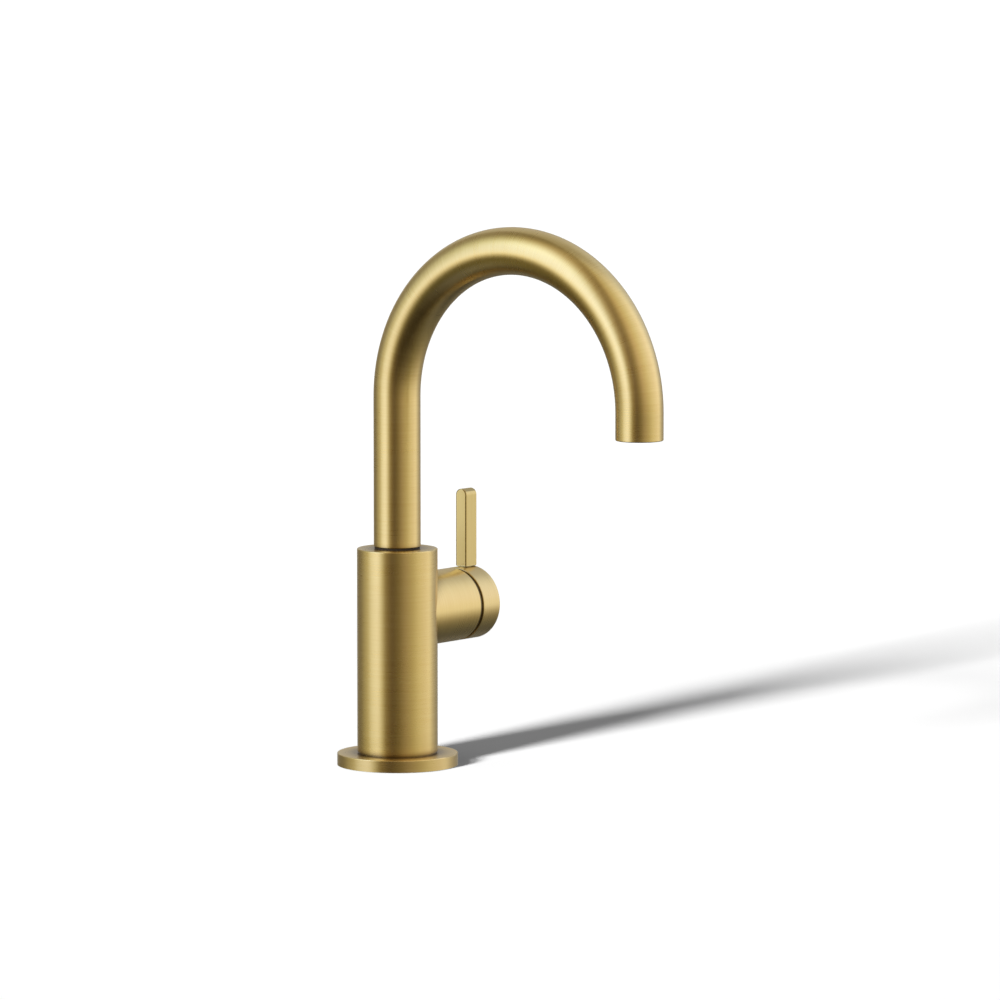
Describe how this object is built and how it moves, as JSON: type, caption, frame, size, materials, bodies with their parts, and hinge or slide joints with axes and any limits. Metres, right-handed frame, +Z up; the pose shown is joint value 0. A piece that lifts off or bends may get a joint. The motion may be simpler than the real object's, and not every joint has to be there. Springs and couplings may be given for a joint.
{
  "type": "beverage faucet",
  "caption": "Satin brass beverage faucet: upright body on a round plate, swivelling gooseneck spout, and a side handle with an upright lever.",
  "frame": {"origin": "where the faucet's own axis meets the worktop, in the plane of the base plate's underside", "axes": "+Z up, the spout reaches along -Y towards the user, and the handle's axis points along +X"},
  "size_m": [0.0853, 0.1823, 0.3216],
  "materials": {
    "satin_brass": "satin",
    "turned_brass": "satin",
    "black_rubber": "matte",
    "stainless_steel": "satin",
    "white_ceramic": "matte",
    "black_plastic": "matte",
    "grey_plastic": "matte"
  },
  "bodies": {
    "base": {"escutcheon": "satin_brass", "deck_gasket": "black_rubber", "faucet_body": "satin_brass", "mounting_shank": "turned_brass", "shank_o_ring": "black_rubber", "deck_washer_rubber": "black_rubber", "deck_washer_steel": "stainless_steel", "mounting_nut": "turned_brass", "seat_seal": "black_rubber", "fixed_disc": "white_ceramic", "cartridge_housing": "turned_brass", "cartridge_o_ring": "black_rubber", "hub_glide_ring": "black_plastic", "upper_glide_ring": "black_plastic"},
    "handle": {"handle_hub": "satin_brass", "lever": "satin_brass", "handle_set_screw": "stainless_steel", "valve_stem": "turned_brass", "moving_disc": "white_ceramic", "stem_o_rings": "black_rubber", "stem_slide_washer": "black_plastic", "stem_clip": "stainless_steel"},
    "spout": {"spout_tube": "satin_brass", "spout_nose": "turned_brass", "spout_o_rings": "black_rubber", "lower_glide_ring": "black_plastic", "spout_retaining_ring": "stainless_steel", "aerator_sleeve": "turned_brass", "aerator_housing": "grey_plastic", "aerator_insert": "grey_plastic", "aerator_screen": "stainless_steel", "aerator_gasket": "black_rubber"}
  },
  "joints": [
    {"name": "handle_turn", "type": "hinge", "parent": "base", "child": "handle", "pos_m": [0.045, 0, 0.0722], "axis": [1, 0, 0], "range_deg": [0, 90]},
    {"name": "spout_swivel", "type": "hinge", "parent": "base", "child": "spout", "pos_m": [0, 0, 0.095], "axis": [0, 0, 1], "continuous": true}
  ]
}
